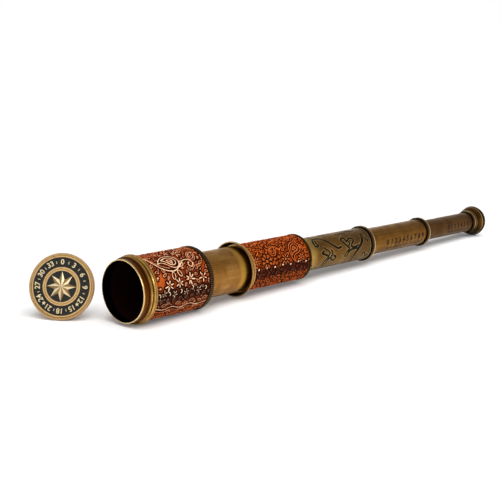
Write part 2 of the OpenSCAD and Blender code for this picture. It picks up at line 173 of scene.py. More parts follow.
# Tooling
class Sheet:
    """A flat sheet on which tools press lines, petals and leaves.

    u runs along the tube from its start and v round it from the seam underneath. Paths are rows of
    complex numbers u + iv. The design's turn, in degrees, moves its spots and curves round the tube."""

    def __init__(self, length, width, cell):
        self.length = length
        self.width = width
        self.columns = round(length / cell)
        self.rows = round(width / cell)
        u = np.linspace(0, length, self.columns + 1)
        v = np.linspace(0, width, self.rows + 1)
        self.grid = u[None, :] + 1j * v[:, None]
        self.line, self.cut, self.pad, self.rub = (np.zeros(self.grid.shape) for _ in range(4))
        self.degree = width / 360
        self.start = 0
        self.turn = 0

    def spot(self, u, degrees):
        """A place of the design as a complex number."""
        return complex(self.start + u, (degrees + self.turn) % 360 * self.degree)

    def curve(self, *points):
        """A soft curve through points that are pairs of u and degrees."""
        knots = np.array([self.spot(u, degrees) for u, degrees in points])
        ends = np.concatenate([[2 * knots[0] - knots[1]], knots, [2 * knots[-1] - knots[-2]]])
        t = np.linspace(0, 1, 12, endpoint=False)
        pieces = []
        for a, b, c, d in zip(ends, ends[1:], ends[2:], ends[3:]):
            bow = 2 * a - 5 * b + 4 * c - d
            flow = 3 * b - a - 3 * c + d
            pieces.append(0.5 * (2 * b + (c - a) * t + bow * t ** 2 + flow * t ** 3))
        return np.append(np.concatenate(pieces), knots[-1])

    def window(self, path, margin):
        """The part of the grid that lies within a margin of a path."""
        du = self.length / self.columns
        dv = self.width / self.rows
        left = max(0, int((path.real.min() - margin) / du))
        right = max(0, int((path.real.max() + margin) / du) + 2)
        low = max(0, int((path.imag.min() - margin) / dv))
        high = max(0, int((path.imag.max() + margin) / dv) + 2)
        return slice(low, high), slice(left, right)

    def away(self, path, area):
        """Distance from each point of an area to a path."""
        grid = self.grid[area]
        best = np.full(grid.shape, np.inf)
        for a, b in zip(path[:-1], path[1:]):
            step = b - a
            share = ((grid - a) * step.conjugate()).real / max(abs(step) ** 2, 1e-9)
            best = np.minimum(best, abs(grid - a - np.clip(share, 0, 1) * step))
        return best

    def press(self, area, **marks):
        """Lays marks over an area of the fields whose names they have."""
        for field, mark in marks.items():
            whole = getattr(self, field)
            whole[area] = np.maximum(whole[area], mark)

    def stroke(self, path, width, flank, rub):
        """A raised line with a groove pressed along both its sides; the last argument is how pale its crest is
        drawn, partly as rubbed wear and partly as painted highlight.
        """
        half = width / 2
        area = self.window(path, half + flank)
        away = self.away(path, area)
        bead = np.sqrt(np.clip(1 - (away / half) ** 2, 0, 1))
        side = np.clip(2 - 2 * abs(away - half - flank / 2) / (flank / 2), 0, 1)
        self.press(area, line=bead, rub=bead * rub, cut=side)

    def engrave(self, path, width):
        """A groove with a thin burr along both its sides."""
        burr = 0.4
        half = 0.58 * width
        area = self.window(path, half + burr)
        away = self.away(path, area)
        side = np.clip(1.5 - 1.5 * abs(away - half - burr / 2) / (burr / 2), 0, 1)
        self.press(area, cut=np.clip(3 - 3 * away / half, 0, 1), line=side)

    def score(self, path, width):
        """A plain groove, as a vein or a stipple."""
        area = self.window(path, width / 2)
        self.press(area, cut=np.clip(1.6 - 3.2 * self.away(path, area) / width, 0, 1))

    def pillow(self, outline, soft=0.6):
        """Raises what lies inside a closed outline, rounded off towards it."""
        area = self.window(outline, 0)
        grid = self.grid[area]
        inside = np.zeros(grid.shape, bool)
        for a, b in zip(outline, np.roll(outline, -1)):
            rise = b.imag - a.imag
            if abs(rise) < 1e-9:
                continue
            crossing = a.real + (grid.imag - a.imag) * (b.real - a.real) / rise
            inside ^= ((a.imag > grid.imag) != (b.imag > grid.imag)) & (grid.real < crossing)
        depth = np.clip(self.away(np.append(outline, outline[0]), area) / soft, 0, 1)
        self.press(area, pad=inside * np.sqrt(depth * (2 - depth)))

    def busy(self, spot, reach):
        """How much of a disc round a spot is already tooled."""
        area = self.window(np.array([spot]), reach)
        near = abs(self.grid[area] - spot) < reach
        worked = np.maximum(np.maximum(self.line[area], self.cut[area]), self.pad[area])
        return float((worked * near).sum() / max(near.sum(), 1))


def polar(length, degrees):
    return cmath.rect(length, math.radians(degrees))


def sweep(start, heading, length, first, last, steps=36):
    """A curve from start at a heading in degrees, whose turn per mm runs from first to last."""
    t = np.linspace(0, 1, steps)
    turn = np.radians(heading + length * (first * t + (last - first) * t * t / 2))
    middle = (turn[1:] + turn[:-1]) / 2
    return start + np.append(0, np.cumsum(np.exp(1j * middle))) * length / (steps - 1)


def oval(centre, angle, half_length, half_width, steps=26):
    t = np.linspace(0, FULL_TURN, steps)
    return centre + polar(1, angle) * (half_length * np.cos(t) + 1j * half_width * np.sin(t))


def leaf_outline(base, angle, length, width, bend):
    """A pointed leaf: out along one side and back along the other."""
    t = np.linspace(0, 1, 13)
    side = width / 2 * np.sin(math.pi * t ** 0.8)
    back = (length * t - 1j * side)[::-1]
    shape = np.append(length * t + 1j * side, back[1:])
    bow = np.exp(1j * math.radians(bend) * shape.real / length)
    return base + polar(1, angle) * shape * bow


def drop_outline(centre, angle, size, bend, scale):
    """A drop with a bent tip, round its belly's centre; size is the radius of the belly."""
    t = np.linspace(0, FULL_TURN, 49)
    shape = 1.35 * np.cos(t) + 1j * np.sin(t) * np.sin(t / 2) ** 1.3
    shape = (shape + 0.35) * scale
    bow = np.exp(1j * math.radians(bend) * np.clip(shape.real, 0, 2) ** 1.5)
    return centre + polar(size, angle) * shape * bow


def flower(sheet, centre, radius, petals, turn, rub):
    """Slender petals round a small eye, each between two dark grooves."""
    for k in range(petals):
        angle = turn + 360 * k / petals + 9 * math.sin(3 * k + turn)
        reach = 0.84 + 0.12 * math.sin(5 * k + turn)
        petal = centre + polar(radius, angle) * np.array([0.36, 0.6, reach])
        sheet.stroke(petal, radius * 0.24, 1.2, rub)
    sheet.stroke(oval(centre, 0, radius * 0.1, radius * 0.1, 10), 0.5, 0.4, rub * 0.7)


def open_flower(sheet, centre, radius, petals, turn, rub=0.45):
    """Broad padded petals, each with a dark outline and a vein, round a raised eye."""
    width = 0.7
    for k in range(petals):
        angle = turn + 360 * k / petals
        half_width = radius * math.sin(math.pi / petals) * 0.72
        petal = oval(centre + polar(radius * 0.64, angle), angle, radius * 0.38, half_width)
        sheet.pillow(petal)
        sheet.score(petal, 1.0)
        crest = centre + polar(radius, angle) * np.array([0.45, 0.64, 0.86])
        sheet.stroke(crest, width, 0.4, rub)
    sheet.stroke(oval(centre, 0, radius * 0.13, radius * 0.13, 12), width, 0.7, rub)


def drop(sheet, centre, angle, size, bend, width=0.7, rings=2, rub=0.5):
    """Nested drop outlines round a small coil."""
    for k in range(rings):
        sheet.stroke(drop_outline(centre, angle, size, bend, 1 - 0.38 * k), width, 1.2, rub)
    coil = sweep(centre + polar(size * 0.34, angle), angle + 90, size * 1.5, 100 / size, 330 / size)
    sheet.stroke(coil, width * 0.8, 0.7, rub)


def leaf(sheet, base, angle, length, bend, width, rub=0.5):
    """A padded leaf with a raised outline and a scored vein."""
    outline = leaf_outline(base, angle, length, length * 0.46, bend)
    sheet.pillow(outline)
    sheet.stroke(outline, width, 1.0, rub)
    sheet.score(base + polar(1, angle + bend * 0.4) * np.array([0.2, 0.8]) * length, 0.45)


def bud(sheet, base, angle, length, width=0.7, rub=0.6):
    """An oval loop that hangs from its base."""
    loop = oval(base + polar(length / 2, angle), angle, length / 2, length * 0.27)
    sheet.pillow(loop)
    sheet.stroke(loop, width, 1.1, rub)


def tendril(sheet, start, heading, length, hand, tight=40, width=0.7, rub=0.5):
    """A stem that curls up into a spiral; hand is 1 or -1."""
    sheet.stroke(sweep(start, heading, length, hand * 1.5, hand * tight * 18 / length, 60), width, 1.1, rub)


def sprig(sheet, path, leaf_length, every, width=0.7, rub=0.5):
    """A stem with leaves on alternate sides."""
    sheet.stroke(path, width, 0.9, rub)
    steps = np.append(0, np.cumsum(abs(np.diff(path))))
    side = 1
    at = every
    while at < steps[-1]:
        k = int(np.searchsorted(steps, at))
        heading = math.degrees(cmath.phase(path[k] - path[k - 1]))
        leaf(sheet, complex(path[k]), heading + 48 * side, leaf_length, -22 * side, width * 0.85, rub)
        side = -side
        at += every


def fill_gaps(sheet, seed, tries, size, width, rub):
    """Small curls, commas, leaves and pips where the sheet is still plain."""
    rng = np.random.default_rng(seed)
    for k in range(tries):
        spot = complex(rng.uniform(1, sheet.length - 1), rng.uniform(1, sheet.width - 1))
        angle = rng.uniform(0, 360)
        hand = 1 if rng.random() < 0.5 else -1
        scale = size * (1.25, 0.9, 0.55)[3 * k // tries]
        if sheet.busy(spot, scale * 0.75) > 0.16:
            continue
        start = spot - polar(scale * 0.7, angle)
        choice = rng.integers(3)
        if scale < size * 0.6:
            sheet.stroke(sweep(start, angle, scale * 1.3, hand * 20, hand * 60, 12), width, 0.9, rub)
        elif choice == 0:
            tendril(sheet, start, angle, scale * 2.6, hand, 110 / scale, width, rub)
        elif choice == 1:
            leaf(sheet, start, angle, scale * 1.4, 25 * hand, width, rub)
        else:
            sheet.stroke(sweep(start, angle, scale * 2, hand * 15, hand * 90, 24), width, 1.0, rub)


# Designs: places are millimetres along the sheet and degrees round it, and each is laid twice
def shade_design(sheet):
    """The front leather: a great stem with a drop, ferns, hanging buds, flowers and twin stems."""
    spot, curve = sheet.spot, sheet.curve
    for turn in (0, 180):
        sheet.turn = turn
        stem = curve((1, 166), (5, 147), (11, 132), (20, 125), (27, 131), (33, 142))
        sheet.stroke(stem, 1.0, 1.5, 1.0)
        sheet.stroke(stem[4:34] + 2.6j, 0.7, 1.1, 0.75)
        tendril(sheet, spot(33, 142), 15, 21, -1, 40, 0.9, 0.95)
        drop(sheet, spot(22, 146), 150, 7.6, 16, 0.8, 3, 0.95)
        tendril(sheet, spot(27, 131), -5, 15, 1, 46, 0.8, 0.9)
        tendril(sheet, spot(9, 131), -80, 7, 1, rub=0.7)
        bud(sheet, spot(19, 123), -95, 5.6, 0.75, 0.95)
        bud(sheet, spot(24, 125), -65, 5.4, 0.75, 0.95)
        sheet.pillow(oval(spot(5.2, 111), 78, 6.0, 3.4), 1.2)
        for u, degrees, radius, petals in ((12.5, 101, 4.6, 6), (23, 102, 4.2, 6), (34, 106, 4.8, 7),
                                           (47.5, 105, 4.4, 5)):
            flower(sheet, spot(u, degrees), radius, petals, u, 1.0)
        # The small flowers and the sparks along the lower side are drawn pale as painted glints.
        for u in (7, 17.5, 29, 42):
            flower(sheet, spot(u, 86 + 2 * math.sin(u)), 3.0, 5, 3 * u, 0.95)
        for u in (3, 12.5, 23.5, 35.5, 49):
            painted_glint = sweep(spot(u, 84 + 3 * math.sin(2 * u)), 60 + 30 * math.sin(u), 3.6, 20, 60, 12)
            sheet.stroke(painted_glint, 0.9, 1.2, 1.0)
        sprig(sheet, curve((38, 120), (43, 128), (50, 130)), 4.2, 3.4, rub=0.7)
        drop(sheet, spot(44, 150), 70, 4.8, -28, rub=0.75)
        flower(sheet, spot(33, 163), 4.4, 6, 20, 0.85)
        flower(sheet, spot(25, 171), 4.0, 6, 50, 0.8)
        sprig(sheet, curve((3, 178), (10, 170), (18, 176)), 4.0, 3.4, rub=0.6)
        sprig(sheet, curve((38, 172), (45, 177), (52, 170)), 4.0, 3.4, rub=0.6)
        for u in range(4, 54, 6):
            bud(sheet, spot(u, 73 + 3 * math.sin(u)), 40 + 25 * math.sin(2 * u), 3.2)
        low = curve((1, 61), (9, 56), (17, 60), (26, 54), (35, 59), (44, 53), (53, 56))
        sheet.stroke(low, 0.9, 1.1, 0.9)
        sheet.stroke(low - 2.9j, 0.7, 0.9, 0.6)
        for u, side in zip(range(6, 52, 7), (1, -1) * 4):
            leaf(sheet, spot(u, 58 + 6 * side), 35 * side, 5.0, -20 * side, 0.7, 0.7)
        for u in (9, 24, 39):
            drop(sheet, spot(u, 35), 10, 4.0, 30)
            flower(sheet, spot(u + 8, 33), 3.6, 6, u, 0.6)
        for u, degrees, heading, hand in ((4, 18, 60, -1), (28, 16, 50, -1), (51, 19, 120, 1)):
            tendril(sheet, spot(u, degrees), heading, 13, hand, width=0.8)
    fill_gaps(sheet, 11, 4600, 2.4, 0.68, 0.74)


def barrel_design(sheet):
    """The barrel's leather: rows of flowers, drops and sprigs, smaller than on the shade."""
    spot = sheet.spot
    for turn in (0, 180):
        sheet.turn = turn
        for u, degrees, radius in ((15, 109, 6.6), (37, 106, 5.2), (56, 102, 4.2), (3, 113, 4.0)):
            open_flower(sheet, spot(u, degrees), radius, 8, u, 0.62)
        drop(sheet, spot(51, 130), 200, 7.4, 30, 0.75, 3, 0.55)
        drop(sheet, spot(25, 134), 60, 5.0, -30, rub=0.55)
        for u, degrees, heading, length, hand in ((5, 128, 25, 15, 1), (33, 129, 60, 12, -1),
                                                  (62, 124, 100, 11, 1)):
            tendril(sheet, spot(u, degrees), heading, length, hand, width=0.85)
        for u in (6, 27, 46):
            sprig(sheet, sweep(spot(u, 158), 10, 14, 6, -9), 3.6, 3.0, 0.75)
        # A row of sparks along the lower side, drawn pale as painted glints.
        for k in range(7):
            painted_glint = spot(4 + 9.6 * k, 92 + 2.5 * math.sin(3 * k))
            sheet.stroke(np.array([painted_glint, painted_glint + 0.5 + 0.3j]), 1.7, 1.0, 1.0)
        for u in range(5, 66, 10):
            open_flower(sheet, spot(u, 66 + 4 * math.sin(2 * u)), 3.4, 6, u, 0.3)
            tendril(sheet, spot(u - 2, 46), 15, 9, -1, width=0.8)
            leaf(sheet, spot(u + 3, 80), 200, 3.8, 20, 0.7)
        for u in (12, 34, 56):
            drop(sheet, spot(u, 27), 150, 3.8, 30)
            open_flower(sheet, spot(u - 9, 23), 3.4, 7, u)
    fill_gaps(sheet, 5, 6400, 2.0, 0.62, 0.5)


def engraved_design(sheet, collar):
    """Draw 1's engraving behind the barrel's collar: a hooked line, branching twigs and a border."""
    def lay(width, *points):
        sheet.engrave(sheet.curve(*points), width)

    sheet.start = collar
    for turn in (0, 180):
        sheet.turn = turn
        lay(2.0, (13, 129), (13.3, 144), (16, 158), (22, 158), (27, 150), (31, 135), (36, 119), (41, 107),
            (45.5, 109))
        lay(1.7, (13, 129), (15, 125), (17.6, 129), (17, 134))
        lay(1.5, (16.5, 150), (16.6, 136))
        lay(1.9, (22.5, 50), (23.5, 69), (28.3, 84), (23.2, 93), (19.4, 100), (22, 105))
        lay(1.6, (28.3, 84), (29.6, 98), (25.5, 110), (23.5, 118))
        lay(1.9, (24.5, 49), (26.5, 66), (31, 81), (33.5, 91), (32, 104))
        lay(1.9, (31, 76), (36, 64), (38, 77), (35, 84))
        lay(1.5, (29, 62), (33, 69), (36, 66))
        lay(1.9, (50.3, 71), (53, 87), (56.5, 97), (51.9, 114), (48.2, 130), (49.4, 138), (53, 138),
            (54.5, 123))
        lay(1.7, (54.5, 123), (59.7, 134), (64.5, 126), (60.5, 112), (59.6, 103), (64.8, 100), (69, 103))
        lay(1.9, (53, 68), (55.5, 84), (60, 94), (68.6, 93))
        lay(1.6, (57, 124), (58, 115), (55, 106))
        lay(1.9, (77.5, 146), (74.8, 117), (69.4, 95), (63.1, 69), (62.5, 36))
        lay(1.3, (79.5, 146), (76.8, 117), (71.4, 95), (65.1, 69), (64.5, 36))
        lay(1.7, (75.5, 56), (77.5, 74), (82, 53), (83.5, 62))
        lay(1.5, (81.5, 128), (80.5, 121), (83, 115), (82, 110))
        lay(1.7, (4, 66), (8, 58), (5, 50), (10, 44))
        lay(1.6, (26, 170), (31, 176), (35, 170))
        lay(1.9, (47, 162), (51, 158), (55, 164), (60, 160))
        lay(1.7, (64, 172), (70, 162), (74, 168))
        lay(1.7, (8, 18), (18, 24), (28, 14), (36, 24), (44, 16))
        lay(1.7, (28, 32), (33, 22), (40, 34))
        lay(1.7, (52, 24), (60, 14), (68, 22), (76, 12))
        lay(1.5, (60, 14), (63, 28), (70, 32))
    for border in (1.2, 86.2):
        sheet.engrave(collar + border + 1j * np.linspace(0, 360, 60) * sheet.degree, 0.5)


def leather_height(sheet, seed):
    """How far each point stands off the leather's middle surface, with its two ends pressed down."""
    rng = np.random.default_rng(seed)
    pebble = rng.random(sheet.grid.shape)
    pebble = (pebble + np.roll(pebble, 1, 0) + np.roll(pebble, 1, 1) + np.roll(pebble, 1, (0, 1))) / 4
    plain = (1 - sheet.line) * (1 - sheet.pad)
    height = 0.34 * sheet.line + 0.24 * sheet.pad * (1 - sheet.line)
    height += plain * (0.16 * (pebble - 0.5) - 0.3 * sheet.cut)
    ends = np.minimum(sheet.grid.real, sheet.length - sheet.grid.real)
    return height * np.clip(ends / 0.6, 0, 1) - 0.22 * np.clip(1 - ends / 0.5, 0, 1) ** 2


# Wraps and turned rings
def line_inside(piece, rim, margin):
    """Lines an open wrap: one strip between the arcs of its two ends, then a fan along each long edge.

    The strip keeps a margin, an angle from the middle of the seam, free on both sides of the seam."""
    bpy.ops.mesh.select_mode(type="EDGE")
    mesh = bmesh.from_edit_mesh(piece.data)
    for edge in mesh.edges:
        a, b = (vertex.co for vertex in edge.verts)
        inside = max(math.hypot(a.y, a.z), math.hypot(b.y, b.z)) < rim
        angle = math.atan2(-a.y - b.y, -a.z - b.z) % FULL_TURN
        apart = margin < angle < FULL_TURN - margin
        edge.select_set(bool(inside and apart and abs(a.x - b.x) < 0.01))
    bmesh.update_edit_mesh(piece.data)
    bpy.ops.mesh.bridge_edge_loops()
    bpy.ops.mesh.select_all(action="DESELECT")
    bpy.ops.mesh.select_non_manifold()
    bpy.ops.mesh.fill_holes(sides=0)
    bpy.ops.mesh.poke()


def line_round(piece, rim, station, length):
    """Lines a closed wrap: draws its rear inner loop forwards by its length and welds it on."""
    mesh = bmesh.from_edit_mesh(piece.data)
    rear = station + length - 0.01
    for vertex in mesh.verts:
        vertex.select = bool(math.hypot(vertex.co.y, vertex.co.z) < rim and vertex.co.x > rear)
    mesh.select_flush_mode()
    bmesh.update_edit_mesh(piece.data)
    bpy.ops.mesh.extrude_edges_move(TRANSFORM_OT_translate={"value": (-length, 0, 0)})
    weld(0.002)


def wrapped(name, sheet, height, station, radius, inner, closed):
    """Wraps a tooled sheet round the tube and gives it its wall; closed joins its two long edges."""
    deselect()
    bpy.ops.mesh.primitive_grid_add(x_subdivisions=sheet.columns, y_subdivisions=sheet.rows, size=1)
    piece = newest(name)
    mesh = piece.data
    flat = vertex_rows(mesh)
    column = np.rint((flat[:, 0] + 0.5) * sheet.columns).astype(int)
    row = np.rint((flat[:, 1] + 0.5) * sheet.rows).astype(int)
    if closed:
        turn = FULL_TURN * row / sheet.rows
    else:
        turn = sheet.grid.imag[row, column] / radius
        turn += (FULL_TURN - turn.max()) / 2
    out = radius + height[row, column]
    flat[:, 0] = station + sheet.grid.real[row, column]
    flat[:, 1] = -out * np.sin(turn)
    flat[:, 2] = -out * np.cos(turn)
    for label, field in (("crest", sheet.rub), ("raised", sheet.line), ("padded", sheet.pad),
                         ("cut", sheet.cut)):
        mesh.attributes.new(label, "FLOAT", "POINT").data.foreach_set("value", field[row, column])
    move_vertices(mesh, flat)
    edit(piece)
    if closed:
        weld(0.001)
        bpy.ops.mesh.select_all(action="DESELECT")
    bpy.ops.mesh.select_non_manifold()
    bpy.ops.mesh.extrude_edges_move()
    sides = bmesh.from_edit_mesh(mesh)
    for vertex in sides.verts:
        if vertex.select:
            vertex.co.yz *= inner / vertex.co.yz.length
    bmesh.update_edit_mesh(mesh)
    rim = inner + 0.1 * (radius - inner)
    if closed:
        line_round(piece, rim, station, sheet.length)
    else:
        line_inside(piece, rim, turn.min() + 1.01 * (turn.max() - turn.min()) / sheet.rows)
    return outward(piece)


def turned(name, profile, steps):
    """Draws a ring round the tube's axis through a closed profile of station and radius pairs."""
    deselect()
    start, width = profile[0]
    bpy.ops.mesh.primitive_circle_add(vertices=steps, radius=width, location=(start, 0, 0),
                                      rotation=(0, math.pi / 2, 0))
    piece = newest(name)
    settle()
    edit(piece, "EDGE", selected=True)
    for station, radius in profile[1:] + profile[:1]:
        bpy.ops.mesh.extrude_edges_move(TRANSFORM_OT_translate={"value": (station - start, 0, 0)})
        scale = radius / width
        bpy.ops.transform.resize(value=(1, scale, scale), center_override=(0, 0, 0))
        start, width = station, radius
    weld(0.002)
    return outward(piece)


def emboss(piece, rise):
    """Moves each vertex out by what rise(station, angle, radius) gives, in arrays."""
    points = vertex_rows(piece.data)
    radius = np.hypot(points[:, 1], points[:, 2])
    angle = np.arctan2(points[:, 1], points[:, 2])
    points[:, 1:] *= (1 + rise(points[:, 0], angle, radius) / radius)[:, None]
    move_vertices(piece.data, points)


# Finishes
class Nodes:
    """Builds one node tree. An input is a value, a colour of three parts or the socket that feeds it."""

    def __init__(self, tree):
        self.tree = tree

    def feed(self, socket, value):
        if isinstance(value, bpy.types.NodeSocket):
            self.tree.links.new(value, socket)
        elif socket.type == "RGBA":
            socket.default_value = (*value, 1.0)
        else:
            socket.default_value = value

    def put(self, kind, inputs=None, **settings):
        """Adds a node, and returns its outputs."""
        node = self.tree.nodes.new("ShaderNode" + kind)
        for key, value in settings.items():
            setattr(node, key, value)
        for key, value in (inputs or {}).items():
            self.feed(node.inputs[key], value)
        return node.outputs

    def attribute(self, label):
        return self.put("Attribute", attribute_name=label)["Fac"]

    def use(self, group, inputs=None):
        return self.put("Group", inputs, node_tree=group)

    def calculate(self, operation, a, b, clamp=False):
        return self.put("Math", {0: a, 1: b}, operation=operation, use_clamp=clamp)[0]

    def plus(self, a, b):
        return self.calculate("ADD", a, b)

    def less(self, a, b):
        """a less b, kept from 0 to 1."""
        return self.calculate("SUBTRACT", a, b, True)

    def times(self, a, b):
        return self.calculate("MULTIPLY", a, b)

    def most(self, a, b):
        return self.calculate("MAXIMUM", a, b)

    def vector(self, operation, a, b=None):
        return self.put("VectorMath", {0: a} if b is None else {0: a, 1: b}, operation=operation)

    def spread(self, value, low, high, to_low=0.0, to_high=1.0):
        """A value's range, stretched smoothly to another."""
        return self.put("MapRange", {0: value, 1: low, 2: high, 3: to_low, 4: to_high},
                        interpolation_type="SMOOTHSTEP")[0]

    def mix(self, share, a, b):
        """Two colours mixed, with the second one's share."""
        return self.put("Mix", {0: share, 6: a, 7: b}, data_type="RGBA")[2]

    def noise(self, vector, scale, detail=3.0, roughness=0.55):
        return self.put("TexNoise", {"Vector": vector, "Scale": scale, "Detail": detail,
                                     "Roughness": roughness})[0]


def group_of(name, inputs, outputs):
    """A shader group. Inputs map a name to its default, none for a vector; outputs map one to its kind."""
    group = bpy.data.node_groups.new(name, "ShaderNodeTree")
    for label, value in inputs.items():
        kind = {tuple: "Color", float: "Float"}.get(type(value), "Vector")
        socket = group.interface.new_socket(label, in_out="INPUT", socket_type="NodeSocket" + kind)
        if value is not None:
            socket.default_value = (*value, 1.0) if kind == "Color" else value
    for label, kind in outputs.items():
        group.interface.new_socket(label, in_out="OUTPUT", socket_type="NodeSocket" + kind)
    return Nodes(group), group.nodes.new("NodeGroupInput").outputs, group.nodes.new("NodeGroupOutput").inputs


def place_group(name, matrix):
    """Where a point lies in millimetres in a piece's own frame: its station, its distance from the
    axis, a vector that runs with the turned surface, whether the surface faces the axis, and its side,
    from -1 underneath to 1 on top."""
    nodes, _, out = group_of(name, {}, {"Place": "Vector", "Station": "Float", "Radius": "Float",
                                        "Round": "Vector", "Inside": "Float", "Side": "Float"})
    location, rotation, scale = matrix.decompose()
    where = nodes.put("TexCoord")["Object"]
    local = nodes.put("Mapping", {"Vector": where, "Location": location, "Rotation": rotation.to_euler(),
                                  "Scale": scale}, vector_type="TEXTURE")[0]
    part = nodes.put("SeparateXYZ", {0: local})
    across = nodes.put("CombineXYZ", {1: part[1], 2: part[2]})[0]
    radius = nodes.vector("LENGTH", across)["Value"]
    way = nodes.vector("NORMALIZE", across)[0]
    along = nodes.vector("MULTIPLY", local, (1, 0, 0))[0]
    around = nodes.vector("ADD", along, way)[0]
    facing = nodes.put("NewGeometry")["Normal"]
    inside = nodes.spread(nodes.vector("DOT_PRODUCT", facing, way)["Value"], 0.05, -0.2)
    side = nodes.calculate("DIVIDE", part[2], radius)
    for socket, value in zip(out, (local, part[0], radius, around, inside, side)):
        nodes.feed(socket, value)
    return nodes.tree


def grain_group():
    """Parallel lines and streaks, as a brush or a lathe leaves them."""
    nodes, given, out = group_of("grain_lines", {"Round": None, "Along": 0.3, "Across": 90.0},
                                 {"Lines": "Float"})
    size = nodes.put("CombineXYZ", {0: given["Along"], 1: given["Across"], 2: given["Across"]})[0]
    vector = nodes.vector("MULTIPLY", given["Round"], size)[0]
    lines = nodes.noise(vector, 1.0, 4.0, 0.7)
    streaks = nodes.noise(vector, 0.075, 2.0, 0.5)
    both = nodes.plus(nodes.times(lines, 0.4), nodes.times(streaks, 0.75))
    nodes.feed(out["Lines"], nodes.spread(both, 0.35, 0.75))
    return nodes.tree


def patina_group():
    """Old brass: clean metal, a brown film in cloudy patches, and dark specks."""
    nodes, given, out = group_of(
        "brass_patina",
        {"Place": None, "Clean": (0.5, 0.34, 0.12), "Film": (0.25, 0.13, 0.04), "Dark": (0.05, 0.03, 0.015),
         "Cover": 0.5, "Patch": 0.1, "Specks": 0.3},
        {"Color": "Color", "Film": "Float"})
    clouds = nodes.noise(given["Place"], given["Patch"], 5.0, 0.62)
    shifted = nodes.plus(clouds, nodes.calculate("SUBTRACT", given["Cover"], 0.5))
    film = nodes.spread(shifted, 0.38, 0.66)
    small = nodes.noise(given["Place"], 1.3, 3.0, 0.7)
    speck = nodes.times(nodes.spread(small, 0.6, 0.72), given["Specks"])
    body = nodes.mix(film, given["Clean"], given["Film"])
    nodes.feed(out["Color"], nodes.mix(speck, body, given["Dark"]))
    nodes.feed(out["Film"], film)
    return nodes.tree


def edge_group():
    """Where the surface turns over an edge, from the angle between a rounded normal and the true one."""
    nodes, given, out = group_of("edge_wear", {"Width": 0.0004, "Gain": 5.0}, {"Worn": "Float"})
    rounded = nodes.put("Bevel", {"Radius": given["Width"]}, samples=6)[0]
    true = nodes.put("NewGeometry")["Normal"]
    along = nodes.vector("DOT_PRODUCT", rounded, true)["Value"]
    turn = nodes.calculate("SUBTRACT", 1.0, along)
    nodes.feed(out["Worn"], nodes.calculate("MULTIPLY", turn, given["Gain"], True))
    return nodes.tree


TUBE_PLACE = place_group("tube_place", TUBE_FRAME)
CAP_PLACE = place_group("cap_place", CAP_AXIS_FRAME)
GRAIN = grain_group()
PATINA = patina_group()
EDGE = edge_group()


class Finish(Nodes):
    """A new material's tree; place is the group that says where a point lies."""

    def __init__(self, name, metallic=1.0, place=TUBE_PLACE):
        self.material = bpy.data.materials.new(name)
        self.material.use_nodes = True
        super().__init__(self.material.node_tree)
        self.shader = self.tree.nodes["Principled BSDF"]
        self.surface = self.shader.inputs
        self.surface["Metallic"].default_value = metallic
        self.where = self.use(place) if place else None

    def done(self, base, roughness, height, strength, distance):
        """Feeds the shader, with the height as a fine bump, and returns the material."""
        bump = self.put("Bump", {"Height": height, "Strength": strength, "Distance": distance})[0]
        for label, value in (("Base Color", base), ("Roughness", roughness), ("Normal", bump)):
            self.feed(self.surface[label], value)
        return self.material


BRASS_DARK = (0.03, 0.017, 0.007)
BRASS_MIRROR = (1.0, 0.92, 0.78)
BRIGHT_EDGE = (0.85, 0.66, 0.36)
TANNED_BLACK = (0.012, 0.004, 0.003)
BROWN_BLACK = (0.014, 0.008, 0.004)
GROOVE_BLACK = (0.008, 0.0015, 0.0006)


def brass(name, clean, film, *, patch, along, across, shine, cover=0.5, specks=0.3,
          edge=(0.8, 0.62, 0.33), worn=0.6, place=TUBE_PLACE, bands=(), lining=None):
    """Aged brass with its own colours; along and across set the way its fine lines run.

    Each band is the two values between which it lies, how softly it ends, its colour and its strength,
    and the socket that it is measured on if that isn't the station. A lining colours what faces the axis."""
    nodes = Finish(name, place=place)
    where = nodes.where
    lines = nodes.use(GRAIN, {"Round": where["Round"], "Along": along, "Across": across})[0]
    skin = nodes.use(PATINA, {"Place": where["Place"], "Clean": clean, "Film": film, "Dark": BRASS_DARK,
                              "Cover": cover, "Patch": patch, "Specks": specks})
    base = nodes.mix(nodes.times(lines, 0.75), skin["Color"], film)
    rim = nodes.use(EDGE, {"Width": 0.0005, "Gain": 7.0})[0]
    patchy = nodes.spread(nodes.noise(where["Place"], 0.6), 0.3, 0.6, 0.5 * worn, worn)
    base = nodes.mix(nodes.times(rim, patchy), base, edge)
    for low, high, soft, shade, strength, *socket in bands:
        value = where[socket[0] if socket else "Station"]
        into = nodes.spread(value, low - soft, low + soft)
        out_of = nodes.spread(value, high - soft, high + soft, strength, 0.0)
        base = nodes.mix(nodes.times(into, out_of), base, shade)
    rough = nodes.plus(nodes.times(skin["Film"], 0.14), shine)
    if lining:
        base = nodes.mix(where["Inside"], base, lining)
        rough = nodes.most(rough, nodes.times(where["Inside"], 0.6))
    nodes.feed(nodes.surface["Specular Tint"], BRASS_MIRROR)
    return nodes.done(base, rough, nodes.plus(nodes.times(lines, 0.6), skin["Film"]), 0.25, 0.00003)


